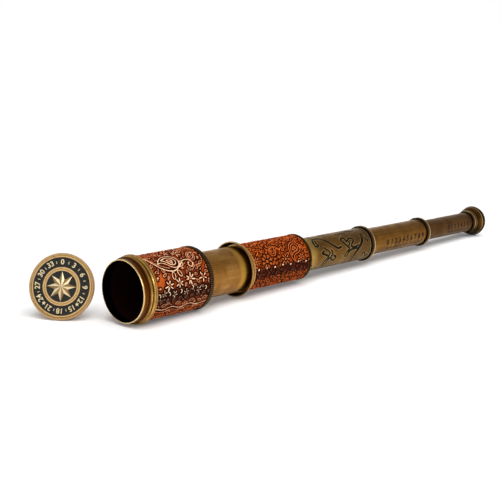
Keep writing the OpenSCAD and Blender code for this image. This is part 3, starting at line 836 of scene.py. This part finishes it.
def leather(name, ground, deep, painted_shade_colour, crest, glint):
    """Tooled leather: dyed ground, dark pressed grooves, a band of painted shade along the lower side, and waxed
    crests drawn pale, partly as rubbed wear and partly as painted highlights.
    """
    nodes = Finish(name, 0.0)
    where = nodes.where["Place"]
    line, rub_and_glint_mask, padded, cut = map(nodes.attribute, ("raised", "crest", "padded", "cut"))
    dye = nodes.spread(nodes.noise(where, 0.14, 4.0, 0.6), 0.45, 0.68)
    base = nodes.mix(nodes.times(padded, 0.6), nodes.mix(dye, ground, deep), crest)
    stipple = nodes.put("TexVoronoi", {"Vector": where, "Scale": 1.3})["Distance"]
    open_ground = nodes.less(1.0, nodes.most(line, padded))
    pits = nodes.times(nodes.spread(stipple, 0.3, 0.7, 0.0, 0.5), open_ground)
    base = nodes.mix(pits, base, GROOVE_BLACK)
    base = nodes.mix(nodes.times(nodes.spread(line, 0.3, 0.8), 0.9), base, crest)
    # Painted shade: a dark band along the lower side, where the tube turns away from the light; noise wobbles its
    # edges.
    shade_band_wobble = nodes.times(nodes.noise(where, 0.25), 0.3)
    side = nodes.plus(nodes.where["Side"], nodes.calculate("SUBTRACT", shade_band_wobble, 0.15))
    painted_shade_band = nodes.times(nodes.spread(side, -0.48, -0.26), nodes.spread(side, -0.02, 0.16, 0.88, 0.0))
    base = nodes.mix(painted_shade_band, base, painted_shade_colour)
    # Pale crests, in patches: partly rubbed wear, partly painted highlights.
    pale_patches = nodes.spread(nodes.noise(where, 0.4), 0.32, 0.58, 0.45, 1.0)
    base = nodes.mix(nodes.times(nodes.spread(rub_and_glint_mask, 0.42, 0.95), pale_patches), base, glint)
    bare = nodes.less(1.0, nodes.spread(line, 0.1, 0.5))
    base = nodes.mix(nodes.times(nodes.spread(cut, 0.1, 0.5, 0.0, 0.96), bare), base, GROOVE_BLACK)
    nodes.feed(nodes.surface["Coat Weight"], nodes.spread(line, 0.1, 0.8, 0.0, 0.12))
    nodes.feed(nodes.surface["Coat Roughness"], 0.25)
    nodes.feed(nodes.surface["Specular IOR Level"], 0.03)
    grain = nodes.calculate("SUBTRACT", nodes.noise(where, 3.4, 4.0, 0.65), nodes.times(stipple, 0.7))
    return nodes.done(base, nodes.spread(line, 0.0, 1.0, 0.6, 0.3), grain, 0.5, 0.00012)


def engraved(name, plain):
    """The aged brass of a plain tube with black-filled grooves and bright burrs."""
    material = plain.copy()
    material.name = name
    nodes = Nodes(material.node_tree)
    shader_colour = material.node_tree.nodes["Principled BSDF"].inputs["Base Color"]
    burr = nodes.times(nodes.spread(nodes.attribute("raised"), 0.3, 0.9), 0.6)
    groove = nodes.spread(nodes.attribute("cut"), 0.2, 0.6)
    base = nodes.mix(burr, shader_colour.links[0].from_socket, (0.8, 0.62, 0.3))
    nodes.feed(shader_colour, nodes.mix(groove, base, (0.01, 0.006, 0.003)))
    return material


def dark_finish(name, shade, roughness):
    """A matt blackened surface with faint mottling."""
    nodes = Finish(name, 0.0)
    nodes.feed(nodes.surface["Specular IOR Level"], 0.04)
    mottle = nodes.noise(nodes.where["Place"], 0.5, 4.0)
    base = nodes.mix(mottle, shade, [part * 2.2 for part in shade])
    rough = nodes.spread(mottle, 0.3, 0.7, roughness - 0.08, roughness + 0.08)
    return nodes.done(base, rough, mottle, 0.2, 0.00005)


def lens_glass():
    nodes = Finish("coated_glass", 0.0)
    nodes.feed(nodes.surface["Transmission Weight"], 1.0)
    nodes.feed(nodes.surface["IOR"], 1.52)
    haze = nodes.noise(nodes.where["Place"], 0.4)
    nodes.feed(nodes.surface["Roughness"], nodes.spread(haze, 0.3, 0.7, 0.01, 0.06))
    nodes.feed(nodes.surface["Base Color"], nodes.mix(haze, (0.93, 0.97, 0.96), (0.97, 0.98, 0.99)))
    return nodes.material


def dial_finish():
    """The cap's dial: black filled ground, with the crests of its rings rubbed bright."""
    nodes = Finish("dial_black_and_brass", place=CAP_PLACE)
    nodes.feed(nodes.surface["Specular IOR Level"], 0.15)
    place, station = nodes.where["Place"], nodes.where["Station"]
    crest = float(node_points("cap_medallion", CAP_AXIS_FRAME)[:, 0].max())
    ring = nodes.spread(station, crest - 0.3, crest - 0.16)
    skin = nodes.use(PATINA, {"Place": place, "Clean": (0.66, 0.43, 0.18), "Film": (0.5, 0.3, 0.12),
                              "Dark": (0.16, 0.09, 0.03), "Cover": 0.42, "Patch": 0.35, "Specks": 0.35})
    mottle = nodes.noise(place, 1.6, 4.0, 0.65)
    black = nodes.mix(mottle, (0.006, 0.006, 0.006), (0.028, 0.027, 0.024))
    base = nodes.mix(ring, black, skin["Color"])
    fine_line = nodes.less(ring, nodes.spread(station, crest - 0.18, crest - 0.04))
    base = nodes.mix(fine_line, base, (0.035, 0.02, 0.008))
    nodes.feed(nodes.surface["Metallic"], ring)
    return nodes.done(base, nodes.spread(ring, 0.0, 1.0, 0.6, 0.36), mottle, 0.35, 0.00006)


def turned_ring(name, clean, film, **more):
    """Brass turned across the tube, whose lines run round it."""
    return brass(name, clean, film, patch=0.12, along=9.0, across=3.0, shine=0.24, edge=BRIGHT_EDGE,
                 worn=1.0, **more)


def drawn_tube(name, clean, film, shine=0.27, **more):
    """Brass drawn and brushed along the tube."""
    return brass(name, clean, film, patch=0.08, along=0.3, across=80.0, shine=shine,
                 lining=TANNED_BLACK, **more)


def draw_collar(node):
    """A thin dark collar whose black front edge is painted shade and whose bright line near its rear is a painted
    highlight.
    """
    front, rear = span(node)[:2]
    return turned_ring(node + "_brass", (0.17, 0.09, 0.03), (0.08, 0.04, 0.013), lining=TANNED_BLACK,
                       bands=[(front - 1, front + 1.3, 0.25, BROWN_BLACK, 0.9),
                              (rear - 1.1, rear - 0.45, 0.12, (0.75, 0.55, 0.27), 0.85)])


def knurled_brass(node, name):
    """Dark brass whose cut crests are rubbed bright."""
    outer = span(node)[3]
    crests = (outer - 0.1, outer + 1, 0.08, (0.38, 0.24, 0.1), 0.6, "Radius")
    return brass(name, (0.045, 0.022, 0.008), (0.02, 0.009, 0.004), patch=0.3, specks=0.4, along=5.0,
                 across=20.0, shine=0.36, edge=(0.2, 0.12, 0.05), worn=0.4, bands=[crests])


CUP_FRONT, CUP_REAR = span("cup_flange")[:2]
EYE_FRONT, EYE_REAR = span("eyepiece_cup")[:2]
COLLAR_REAR = span("barrel_rear_collar")[1]
TURNED_INSIDE = brass("turned_brass", (0.55, 0.38, 0.14), (0.4, 0.25, 0.09), cover=0.35, patch=0.2,
                      specks=0.1, along=12.0, across=3.0, shine=0.3)
# By CAD node or by the slot that several nodes share
FINISH = {
    # Barrel tube: the brighter band before the cup is partly unworn brass and partly a painted reflection of the
    # cup's mouth; the dark band at the cup is painted shade inside its mouth.
    "barrel_tube": drawn_tube(
        "brushed_brass", (0.4, 0.2, 0.055), (0.24, 0.1, 0.017),
        bands=[(CUP_FRONT - 9, CUP_REAR, 2.2, (0.55, 0.3, 0.045), 0.75),
               (CUP_FRONT - 3, CUP_REAR, 1.6, (0.24, 0.11, 0.015), 0.85)]),
    "shade_front_ring": turned_ring(
        "olive_gold_ring", (0.66, 0.38, 0.09), (0.33, 0.165, 0.035), lining=(0.001, 0.0004, 0.0003),
        # The band at the lip is a painted highlight.
        bands=[(-1.0, 0.45, 0.15, (0.85, 0.62, 0.3), 0.8),
               (1.1, 5.6, 0.4, (0.1, 0.022, 0.0008), 0.97),
               (5.4, 5.9, 0.15, BROWN_BLACK, 0.8),
               (8.2, 8.8, 0.12, BROWN_BLACK, 0.9),
               (9.85, 10.2, 0.12, BROWN_BLACK, 0.85)]),
    # Bell mouth: its dark lining is painted shade inside the mouth, and the bright band at its lip is a painted
    # highlight.
    "cup_flange": turned_ring(
        "bell_mouth_brass", (0.5, 0.27, 0.055), (0.31, 0.15, 0.03), lining=(0.04, 0.016, 0.005),
        bands=[(CUP_FRONT - 1, CUP_FRONT + 0.25, 0.12, (0.6, 0.43, 0.24), 0.6)]),
    "draw_1_collar": draw_collar("draw_1_collar"),
    "draw_2_collar": draw_collar("draw_2_collar"),
    # Eyepiece: the dark step, the dark grooves and the dark foot of the bell are painted shade, the bright ridge
    # crests and the bright ring before the rim are painted highlights, the rim is darker, and the underside is
    # painted shade.
    "eyepiece_cup": turned_ring(
        "eyepiece_brass", (0.13, 0.055, 0.009), (0.05, 0.02, 0.0035), lining=TANNED_BLACK,
        bands=[(EYE_FRONT - 1, EYE_FRONT + 2.1, 0.2, BROWN_BLACK, 0.9),
               (EYE_FRONT + 2.4, EYE_FRONT + 3.2, 0.1, (0.6, 0.37, 0.13), 0.85),
               (EYE_FRONT + 3.4, EYE_FRONT + 4.0, 0.12, BROWN_BLACK, 0.97),
               (EYE_FRONT + 4.2, EYE_FRONT + 4.8, 0.1, (0.5, 0.3, 0.1), 0.7),
               (EYE_FRONT + 5.1, EYE_FRONT + 5.7, 0.12, BROWN_BLACK, 0.97),
               (EYE_FRONT + 5.6, EYE_FRONT + 7.2, 0.4, (0.045, 0.018, 0.004), 0.9),
               (EYE_FRONT + 10.2, EYE_FRONT + 11.0, 0.2, (0.6, 0.38, 0.13), 0.55),
               (EYE_FRONT + 11.7, EYE_REAR + 1, 0.2, (0.016, 0.008, 0.003), 0.97),
               (-2.0, -0.35, 0.3, (0.012, 0.006, 0.002), 0.9, "Side")]),
    "draw_2_tube": drawn_tube("brown_gold_brass", (0.26, 0.115, 0.016), (0.13, 0.052, 0.008)),
    "draw_3_tube": drawn_tube("grey_brown_brass", (0.14, 0.058, 0.013), (0.07, 0.027, 0.007), shine=0.3),
    "shade_rear_collar": knurled_brass("shade_rear_collar", "beaded_dark_brass"),
    "barrel_rear_collar": knurled_brass("barrel_rear_collar", "knurled_dark_brass"),
    "cap_body": brass("cap_rim_brass", (0.6, 0.37, 0.16), (0.42, 0.23, 0.09), cover=0.45, patch=0.35,
                      specks=0.35, along=8.0, across=3.0, shine=0.32, place=CAP_PLACE),
    "cap_medallion": dial_finish(),
    "shade_tube": dark_finish("black_lining", (0.003, 0.0004, 0.0002), 0.9),
    "objective_retaining_ring": TURNED_INSIDE,
    "eyepiece_retaining_ring": TURNED_INSIDE,
    "brass_inner": TURNED_INSIDE,
    "optical_glass": lens_glass(),
    "matte_black": dark_finish("matte_black_paint", (0.01, 0.01, 0.01), 0.7),
}
FRONT_LEATHER = leather("front_leather", ground=(0.36, 0.055, 0.006), deep=(0.14, 0.015, 0.0025),
                        painted_shade_colour=(0.03, 0.005, 0.0012), crest=(0.42, 0.09, 0.014), glint=(0.93, 0.7, 0.44))
BARREL_LEATHER = leather("barrel_leather", ground=(0.4, 0.05, 0.003), deep=(0.2, 0.018, 0.002),
                         painted_shade_colour=(0.045, 0.006, 0.001), crest=(0.5, 0.105, 0.007), glint=(0.95, 0.7, 0.45))
ENGRAVED_BRASS = engraved("engraved_brass", drawn_tube(
    "olive_brass", (0.23, 0.12, 0.021), (0.12, 0.052, 0.01),
    bands=[(COLLAR_REAR - 1, COLLAR_REAR + 12, 5.0, (0.46, 0.28, 0.065), 0.7),
           (COLLAR_REAR + 58, COLLAR_REAR + 99, 16.0, (0.1, 0.045, 0.012), 0.8)]))
SCALE_FILL = dark_finish("black_scale_fill", (0.006, 0.004, 0.003), 0.5)
RAISED_BRASS = brass("raised_pale_brass", (0.9, 0.8, 0.52), (0.72, 0.56, 0.3), cover=0.4, patch=0.6,
                     specks=0.2, along=4.0, across=4.0, shine=0.36, place=CAP_PLACE)
STAR_SHADE = brass("star_shaded_side", (0.4, 0.24, 0.09), (0.22, 0.12, 0.05), patch=0.6, along=4.0,
                   across=4.0, shine=0.4, worn=0.2, place=CAP_PLACE)


# Pieces
def dress_frame():
    """Gives each CAD node its own finish, or the one of its slot."""
    for part in frame["record"]["subparts"]:
        finish = FINISH.get(part["node"]) or FINISH.get(part["material_slot"])
        if finish:
            materials = frame["nodes"][part["node"]].data.materials
            materials.clear()
            materials.append(finish)


def leather_wrap(node, body, design, material, cell, seed):
    """A leather skin, tooled by its design; its two long edges leave a gap at the seam underneath."""
    front, rear, inner, outer = span(node)
    middle = outer - 0.3
    gap = 0.4
    sheet = Sheet(rear - front, FULL_TURN * middle - gap, cell)
    design(sheet)
    piece = wrapped(node + "_tooled", sheet, leather_height(sheet, seed), front, middle, inner, False)
    place(piece, body, "tooled_leather", material, stands_for=[node])


def engraved_tube():
    """Draw 1's tube with its engraving cut in, which meets itself at the seam."""
    front, rear, inner, outer = span("draw_1_tube")
    burr, depth = 0.03, 0.3
    sheet = Sheet(rear - front, FULL_TURN * outer, 0.34)
    engraved_design(sheet, COLLAR_REAR - front)
    for field in (sheet.line, sheet.cut):
        field[0] = field[-1] = np.maximum(field[0], field[-1])
    height = burr * sheet.line * (1 - sheet.cut) - depth * sheet.cut
    piece = wrapped("draw_1_tube_engraved", sheet, height, front, outer, inner, True)
    place(piece, "draw_1", "brass_engraved", ENGRAVED_BRASS, stands_for=["draw_1_tube"])


def knurled_collar(node, body, rise, rings):
    """A rear collar whose rim is beaded or knurled; its profile follows the CAD node's."""
    front, rear, hole, outer = span(node)
    points = node_points(node, TUBE_FRAME)
    radius = np.hypot(points[:, 1], points[:, 2])
    seat = float(radius[abs(points[:, 0] - front) < 0.01].min())
    disc = float(np.unique(np.round(points[:, 0][abs(radius - seat) < 0.02], 3)).max())
    edge, inset, steps = 0.4, 0.25, 480
    band = [(station, outer - inset) for station in np.linspace(front + edge, rear - edge, rings)]
    profile = [(front, seat), (front, outer - edge), *band, (rear, outer - edge), (rear, hole),
               (disc, hole), (disc, seat)]
    piece = turned(node + "_cut", profile, steps)
    emboss(piece, lambda s, a, r: rise(s, a, front + edge, rear - edge) * (r > outer - inset - 0.05) * inset)
    place(piece, body, "knurled_dark_brass", FINISH[node], smooth=70, stands_for=[node])


def beads(count):
    """Two rows of round beads across a rim, as a height from -0.8 to 1."""
    rows = 2

    def rise(station, angle, low, high):
        share = np.clip((station - low) / (high - low), 0, 1)
        return np.cos(count * angle) * abs(np.sin(rows * math.pi * share)) * 0.9 + 0.1
    return rise


def diamonds(count, pitch):
    """Crossed knurling, as a height from -1 to 1."""
    def rise(station, angle, low, high):
        share = np.clip((station - low) / (high - low), 0, 1)
        slant = math.pi * (station - low) / pitch
        crest = abs(np.cos(count * angle / 2 + slant) * np.cos(count * angle / 2 - slant))
        return (2 * crest - 1) * np.clip(6 * share, 0, 1) * np.clip(6 - 6 * share, 0, 1)
    return rise


def text_mesh(body, size, depth, bold):
    """Plain figures as a mesh, centred, lying in the XY plane and rising by depth."""
    deselect()
    bpy.ops.object.text_add()
    text = bpy.context.active_object.data
    text.body = body
    text.size = size
    text.align_x = "CENTER"
    text.align_y = "CENTER"
    text.extrude = depth / 2
    text.offset = bold
    text.resolution_u = 3
    bpy.ops.object.convert(target="MESH")
    piece = bpy.context.active_object
    edit(piece)
    weld(0.001)
    return outward(piece)


def join_as(name, pieces):
    activate(pieces[0])
    for piece in pieces[1:]:
        piece.select_set(True)
    bpy.ops.object.join()
    return newest(name)


def bar(size, centre):
    """A small block with softened edges."""
    deselect()
    bpy.ops.mesh.primitive_cube_add(size=1)
    piece = newest("bar")
    piece.scale = size
    settle()
    edit(piece, "EDGE", selected=True)
    bpy.ops.mesh.bevel(offset=min(size) * 0.25, segments=1)
    activate(piece)
    piece.location = centre
    settle()
    return piece


def bend_round(piece, radius, station, degrees):
    """Bends a flat piece round the tube: its x runs along the tube and its y up round it."""
    edit(piece)
    for level in np.arange(-6.5, 4.01, 0.5):
        bpy.ops.mesh.select_all(action="SELECT")
        bpy.ops.mesh.bisect(plane_co=(0, level, 0), plane_no=(0, 1, 0))
    deselect()
    for vertex in piece.data.vertices:
        turn = math.radians(degrees) + vertex.co.y / radius
        out = radius + vertex.co.z
        vertex.co = (station + vertex.co.x, -out * math.sin(turn), -out * math.cos(turn))
    piece.data.update()
    return piece


def tube_scale(name, body, node, slot, start, step, marks, degrees, size, thick):
    """A row of tick marks under plain numbers, filled black and all but flush with the tube."""
    depth = 0.16
    proud = 0.03
    middle = span(node)[3] - depth / 2 + proud
    low = -0.95 * size
    made = []
    for k in range(marks * 2 + 1):
        tall = size * (0.5 if k % 2 == 0 else 0.28)
        tick = bar((thick, tall, depth), (0, low + tall / 2, 0))
        made.append(bend_round(tick, middle, start + k * step / 2, degrees))
    for k in range(marks + 1):
        number = text_mesh(str(k), size, depth, 0.035 * size)
        made.append(bend_round(number, middle, start + k * step, degrees))
    line = bar((marks * step, 0.6 * thick, depth), (marks * step / 2, low, 0))
    made.append(bend_round(line, middle, start, degrees))
    place(join_as(name, made), body, slot, SCALE_FILL, smooth=40)


def star(points, outer, inner, base, top, peak):
    """A closed star with a raised middle: every other vertex of a disc is pulled in."""
    deselect()
    bpy.ops.mesh.primitive_circle_add(vertices=2 * points, radius=outer, fill_type="TRIFAN",
                                      location=(0, 0, base))
    piece = newest("star")
    settle()
    edit(piece, "FACE", selected=True)
    bpy.ops.mesh.extrude_region_move(TRANSFORM_OT_translate={"value": (0, 0, top - base)})
    deselect()
    for vertex in piece.data.vertices:
        reach = math.hypot(vertex.co.x, vertex.co.y)
        if reach < 0.01:
            vertex.co.z = peak if vertex.co.z > (base + top) / 2 else base
        elif round(math.atan2(vertex.co.x, vertex.co.y) / math.pi * points) % 2:
            vertex.co.x *= inner / reach
            vertex.co.y *= inner / reach
    return outward(piece)


def round_dial(piece, radius, turn):
    """Moves a mark out to its place on the dial, its top away from the centre."""
    activate(piece)
    piece.rotation_euler.z = -turn
    piece.location = (radius * math.sin(turn), radius * math.cos(turn), 0)
    settle()
    return piece


def dial_marks():
    """Tens of degrees round the dial, ticks and two small stars between them, and a great star."""
    heights = np.sort(node_points("cap_medallion", CAP_FRAME)[:, 2])
    steps = np.flatnonzero(np.diff(heights) > 0.1)
    ground, crest = heights[steps[0] + 1].item(), heights[-1].item()
    rise = crest - ground
    sunk = 0.05
    ring_radius = 18.4
    made = []
    for k in range(12):
        number = text_mesh(str(3 * k), 5.6, rise + 2 * sunk, 0.1)
        number.location.z = ground + rise / 2
        made.append(round_dial(number, ring_radius, math.radians(30 * k)))
        if k in (4, 7):
            mark = star(5, 1.7, 0.75, ground - sunk, crest - 0.1, crest)
        else:
            mark = bar((0.6, 2.0, rise + 2 * sunk), (0, 0, ground + rise / 2))
        made.append(round_dial(mark, ring_radius, math.radians(30 * k + 15)))
    place(join_as("dial_numbers", made), "cap", "cap_brass", RAISED_BRASS, CAP_FRAME, 40)
    great = star(8, 11.4, 5.6, ground - sunk, ground + 0.2, crest + 0.2)
    great.name = "dial_star"
    place(great, "cap", "cap_brass", RAISED_BRASS, CAP_FRAME, 5)
    great.data.materials.append(STAR_SHADE)
    for face in great.data.polygons:
        centre = CAP_FRAME.inverted() @ face.center
        face.material_index = math.floor(math.atan2(centre.x, centre.y) / math.pi * 8) % 2


# Studio
def studio_floor():
    """A white table that shows the shadow; part of its white is its own, only where it is seen."""
    deselect()
    bpy.ops.mesh.primitive_plane_add(size=12)
    floor = newest("studio_floor")
    nodes = Finish("pale_floor", 0.0, None)
    nodes.feed(nodes.surface["Base Color"], (0.95, 0.95, 0.95))
    nodes.feed(nodes.surface["Roughness"], 0.9)
    path = nodes.put("LightPath")
    share = nodes.times(nodes.most(path["Is Camera Ray"], path["Is Transmission Ray"]), 0.1)
    glow = nodes.put("Emission", {"Color": (1, 1, 1), "Strength": 1.0})[0]
    both = nodes.put("MixShader", {0: share, 1: nodes.shader.outputs[0], 2: glow})[0]
    nodes.feed(nodes.tree.nodes["Material Output"].inputs[0], both)
    floor.data.materials.append(nodes.material)


def studio_world():
    """White at the horizon and greyer overhead; dimmer as light than as what the brass mirrors."""
    world = bpy.data.worlds.new("studio")
    bpy.context.scene.world = world
    world.use_nodes = True
    world.node_tree.nodes.clear()
    nodes = Nodes(world.node_tree)
    way = nodes.put("TexCoord")["Generated"]
    height = nodes.put("SeparateXYZ", {0: way})[2]
    white = (1, 1, 1)
    sky = nodes.mix(nodes.spread(height, 0.1, 0.6), white, (0.58, 0.58, 0.58))
    lit, mirrored, backdrop = (nodes.put("Background", {"Color": shade, "Strength": strength})[0]
                               for shade, strength in ((sky, 0.42), (sky, 1.0), (white, 1.0)))
    path = nodes.put("LightPath")
    shiny = nodes.most(path["Is Glossy Ray"], path["Is Transmission Ray"])
    light = nodes.put("MixShader", {0: shiny, 1: lit, 2: mirrored})[0]
    seen = nodes.put("MixShader", {0: path["Is Camera Ray"], 1: light, 2: backdrop})[0]
    nodes.feed(world.node_tree.nodes.new("ShaderNodeOutputWorld").inputs[0], seen)


def lamp(name, kind, place_at, way, power):
    """Adds a lamp that shines down a direction, and returns it."""
    deselect()
    bpy.ops.object.light_add(type=kind, location=place_at)
    made = newest(name)
    made.data.energy = power
    made.rotation_euler = Vector(way).to_track_quat("-Z", "Y").to_euler()
    return made


def studio_lamps():
    """A broad window light from above and a small fill in front of the tube."""
    window = lamp("window", "SUN", (0, 0, 1), (0.15, 0.45, -0.88), 3.3)
    window.data.angle = math.radians(60)
    window.visible_glossy = False
    corner = Vector((-0.9, -0.7, 0.6))
    fill = lamp("front_fill", "AREA", corner, Vector((0.1, 0, 0)) - corner, 2.5)
    fill.data.shape = "RECTANGLE"
    fill.data.size, fill.data.size_y = 0.4, 0.3


def camera():
    """The photograph's camera, from the lip's centre in the picture and the tube's vanishing line."""
    focal, picture, sensor = 1200, 500, 36
    lip_across, lip_down = 122.5, 291.7
    lip_radii_away, lip_radius = 36.77, 24
    turn, dip = math.radians(46.1), math.radians(-7.5)
    depth = lip_radii_away * lip_radius * MM
    lip = Vector(((lip_across - picture / 2) / focal, (lip_down - picture / 2) / focal, 1)) * depth
    along = Vector((math.cos(turn) * math.cos(dip), math.sin(dip), math.sin(turn) * math.cos(dip)))
    pitch = math.atan2(along.z, along.y) - math.acos(math.sin(TILT) / math.hypot(along.y, along.z))
    up = Vector((0, -math.cos(pitch), -math.sin(pitch)))
    ahead = (along - up * along.dot(up)).normalized()
    to_world = Matrix((ahead, up.cross(ahead), up))
    deselect()
    bpy.ops.object.camera_add()
    view = newest("photograph_camera")
    turned_to = (to_world @ Matrix.Diagonal((1, -1, -1))).to_4x4()
    view.matrix_world = Matrix.Translation(LIP_CENTRE - to_world @ lip) @ turned_to
    view.data.sensor_width = sensor
    view.data.lens = sensor * focal / picture
    view.data.clip_start = 0.01
    bpy.context.scene.camera = view


camera()
dress_frame()
leather_wrap("shade_leather", "shade", shade_design, FRONT_LEATHER, cell=0.34, seed=3)
leather_wrap("barrel_leather", "barrel", barrel_design, BARREL_LEATHER, cell=0.33, seed=4)
engraved_tube()
knurled_collar("shade_rear_collar", "shade", beads(count=96), rings=9)
knurled_collar("barrel_rear_collar", "barrel", diamonds(count=80, pitch=1.5), rings=14)
tube_scale("draw_2_scale", "draw_2", "draw_2_tube", "brass_scale", start=307, step=6, marks=9, degrees=86,
           size=6.8, thick=1.0)
tube_scale("draw_3_scale", "draw_3", "draw_3_tube", "brass_dark", start=408, step=5.4, marks=7, degrees=94,
           size=6.0, thick=0.9)
dial_marks()
studio_floor()
studio_world()
studio_lamps()
bpy.context.scene.view_settings.view_transform = "Standard"
